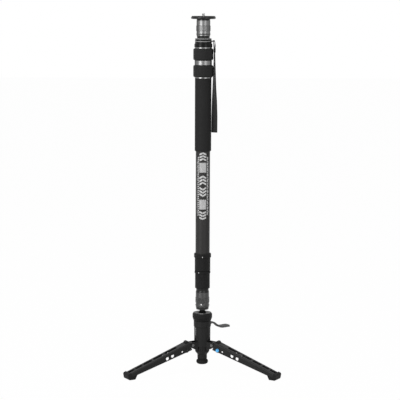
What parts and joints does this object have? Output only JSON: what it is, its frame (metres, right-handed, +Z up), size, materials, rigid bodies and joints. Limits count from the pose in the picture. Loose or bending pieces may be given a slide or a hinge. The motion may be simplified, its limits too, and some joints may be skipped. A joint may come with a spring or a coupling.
{
  "type": "camera monopod",
  "caption": "Closed twist-lock camera monopod standing on three short folding legs, with a tilting ball joint, a release pedal, two quick couplings and a wrist strap.",
  "frame": {"origin": "on the floor under the pole, with the legs spread and the pole closed", "axes": "+Z up the pole to the camera screw; one leg points along +Y, the other two to -30 and 210 degrees; the picture looks along +Y, so +X is its right"},
  "size_m": [0.3514, 0.3042, 0.8053],
  "materials": {
    "housing": "satin",
    "foot_rubber": "matt",
    "steel": "satin",
    "spring_steel": "satin",
    "ring_metal": "satin",
    "knob_rubber": "matt",
    "inner_plastic": "matt",
    "ball_metal": "satin",
    "plug_metal": "satin",
    "pedal_metal": "satin",
    "tube_black": "satin",
    "sleeve_dark": "satin",
    "sleeve_light": "satin",
    "collar_black": "matt",
    "grip_rubber": "matt",
    "trim_metal": "satin",
    "ring_silver": "satin",
    "cap_black": "satin",
    "strap_web": "woven",
    "lock_aluminium": "plain",
    "pad_rubber": "matt",
    "leg_metal": "satin",
    "button_blue": "gloss",
    "latch_black": "satin"
  },
  "bodies": {
    "stand": {"base_housing": "housing", "ribbed_nut": "housing", "centre_foot": "foot_rubber", "foot_stud": "steel", "hinge_pins": "steel", "pedal_pin": "steel", "disc_springs": "spring_steel"},
    "ring": {"tension_ring": "ring_metal", "ring_grip": "knob_rubber"},
    "swivel": {"swivel_cup": "inner_plastic"},
    "ball": {"tilt_ball": "ball_metal", "base_plug": "plug_metal"},
    "pedal_lever": {"pedal": "pedal_metal"},
    "plunger": {"release_plunger": "steel"},
    "pole": {"pole_socket": "plug_metal", "inner_tube": "tube_black", "inner_bush": "inner_plastic"},
    "lower_lock_sleeve": {"lower_sleeve": "sleeve_dark"},
    "middle": {"middle_tube": "tube_black", "middle_bush": "inner_plastic", "lower_collet": "inner_plastic"},
    "lower_twist_collar": {"lower_collar": "collar_black"},
    "outer": {"outer_tube": "tube_black", "upper_collet": "inner_plastic", "grip": "grip_rubber", "trim_rings": "trim_metal", "hold_ring": "knob_rubber", "middle_ring": "ring_silver", "head_cap": "cap_black", "head_plug": "plug_metal", "strap_eyelet": "steel", "wrist_strap": "strap_web"},
    "upper_twist_collar": {"upper_collar": "collar_black"},
    "knob": {"lock_knob": "knob_rubber", "lock_rod": "steel"},
    "height_lock": {"lock_tube": "lock_aluminium"},
    "head": {"head_socket": "cap_black", "camera_plate": "cap_black", "plate_pad": "pad_rubber", "camera_stud": "steel"},
    "upper_lock_sleeve": {"upper_sleeve": "sleeve_light"},
    "leg_a": {"leg_a": "leg_metal", "leg_boot_a": "foot_rubber"},
    "button_a": {"leg_button_a": "button_blue"},
    "latch_a": {"leg_latch_a": "latch_black"},
    "leg_b": {"leg_b": "leg_metal", "leg_boot_b": "foot_rubber"},
    "button_b": {"leg_button_b": "button_blue"},
    "latch_b": {"leg_latch_b": "latch_black"},
    "leg_c": {"leg_c": "leg_metal", "leg_boot_c": "foot_rubber"},
    "button_c": {"leg_button_c": "button_blue"},
    "latch_c": {"leg_latch_c": "latch_black"}
  },
  "joints": [
    {"name": "ring_turn", "type": "hinge", "parent": "stand", "child": "ring", "pos_m": [0, 0, 0.1142], "axis": [0, 0, 1], "range_deg": [0, 60]},
    {"name": "pan", "type": "hinge", "parent": "stand", "child": "swivel", "pos_m": [0, 0, 0.124], "axis": [0, 0, 1], "continuous": true},
    {"name": "tilt", "type": "hinge", "parent": "swivel", "child": "ball", "pos_m": [0, 0, 0.124], "axis": [0, 1, 0], "range_deg": [0, 20]},
    {"name": "pedal_press", "type": "hinge", "parent": "stand", "child": "pedal_lever", "pos_m": [0.01498, 0.00865, 0.1015], "axis": [-0.5, 0.866, 0], "range_deg": [0, 6], "stiffness_Nm_per_rad": 4},
    {"name": "plunger_lift", "type": "slide", "parent": "stand", "child": "plunger", "axis": [0, 0, 1], "range_m": [0, 0.001], "deforming": ["disc_springs"]},
    {"name": "leg_a_fold", "type": "hinge", "parent": "stand", "child": "leg_a", "pos_m": [0.02598, -0.015, 0.06], "axis": [0.5, 0.866, 0], "range_deg": [-106, 0]},
    {"name": "button_a_press", "type": "slide", "parent": "leg_a", "child": "button_a", "axis": [0.5, 0.866, 0], "range_m": [0, 0.0025], "stiffness_N_per_m": 400},
    {"name": "latch_a_rock", "type": "hinge", "parent": "leg_a", "child": "latch_a", "pos_m": [0.03857, -0.02227, 0.05764], "axis": [-0.5, -0.866, 0], "range_deg": [0, 8.05]},
    {"name": "leg_b_fold", "type": "hinge", "parent": "stand", "child": "leg_b", "pos_m": [0, 0.03, 0.06], "axis": [-1, 0, 0], "range_deg": [-106, 0]},
    {"name": "button_b_press", "type": "slide", "parent": "leg_b", "child": "button_b", "axis": [-1, 0, 0], "range_m": [0, 0.0025], "stiffness_N_per_m": 400},
    {"name": "latch_b_rock", "type": "hinge", "parent": "leg_b", "child": "latch_b", "pos_m": [0, 0.04454, 0.05764], "axis": [1, 0, 0], "range_deg": [0, 8.05]},
    {"name": "leg_c_fold", "type": "hinge", "parent": "stand", "child": "leg_c", "pos_m": [-0.02598, -0.015, 0.06], "axis": [0.5, -0.866, 0], "range_deg": [-106, 0]},
    {"name": "button_c_press", "type": "slide", "parent": "leg_c", "child": "button_c", "axis": [0.5, -0.866, 0], "range_m": [0, 0.0025], "stiffness_N_per_m": 400},
    {"name": "latch_c_rock", "type": "hinge", "parent": "leg_c", "child": "latch_c", "pos_m": [-0.03857, -0.02227, 0.05764], "axis": [-0.5, 0.866, 0], "range_deg": [0, 8.05]},
    {"name": "base_release", "type": "slide", "parent": "ball", "child": "pole", "axis": [0, 0, 1], "range_m": [0, 0.028]},
    {"name": "lower_sleeve_turn", "type": "hinge", "parent": "pole", "child": "lower_lock_sleeve", "pos_m": [0, 0, 0.1445], "axis": [0, 0, 1], "range_deg": [0, 45]},
    {"name": "lower_draw", "type": "slide", "parent": "pole", "child": "middle", "axis": [0, 0, 1], "range_m": [0, 0.33]},
    {"name": "lower_collar_turn", "type": "hinge", "parent": "middle", "child": "lower_twist_collar", "pos_m": [0, 0, 0.1878], "axis": [0, 0, 1], "range_deg": [0, 90]},
    {"name": "upper_draw", "type": "slide", "parent": "middle", "child": "outer", "axis": [0, 0, 1], "range_m": [0, 0.33]},
    {"name": "upper_collar_turn", "type": "hinge", "parent": "outer", "child": "upper_twist_collar", "pos_m": [0, 0, 0.2278], "axis": [0, 0, 1], "range_deg": [0, 90]},
    {"name": "knob_turn", "type": "hinge", "parent": "outer", "child": "knob", "pos_m": [0, 0, 0.702], "axis": [0, 0, 1], "range_deg": [0, 60]},
    {"name": "lock_tube_turn", "type": "hinge", "parent": "middle", "child": "height_lock", "pos_m": [0, 0, 0.645], "axis": [0, 0, 1], "range_deg": [0, 60]},
    {"name": "head_release", "type": "slide", "parent": "outer", "child": "head", "axis": [0, 0, 1], "range_m": [0, 0.028]},
    {"name": "upper_sleeve_turn", "type": "hinge", "parent": "head", "child": "upper_lock_sleeve", "pos_m": [0, 0, 0.755], "axis": [0, 0, 1], "range_deg": [0, 45]}
  ],
  "couplings": [
    {"joint": "pedal_press", "follows": "plunger_lift", "rad_per_m": 104.7},
    {"joint": "lock_tube_turn", "follows": "knob_turn", "ratio": 1},
    {"joint": "latch_a_rock", "follows": "button_a_press", "rad_per_m": 55.85},
    {"joint": "latch_b_rock", "follows": "button_b_press", "rad_per_m": 55.85},
    {"joint": "latch_c_rock", "follows": "button_c_press", "rad_per_m": 55.85}
  ]
}
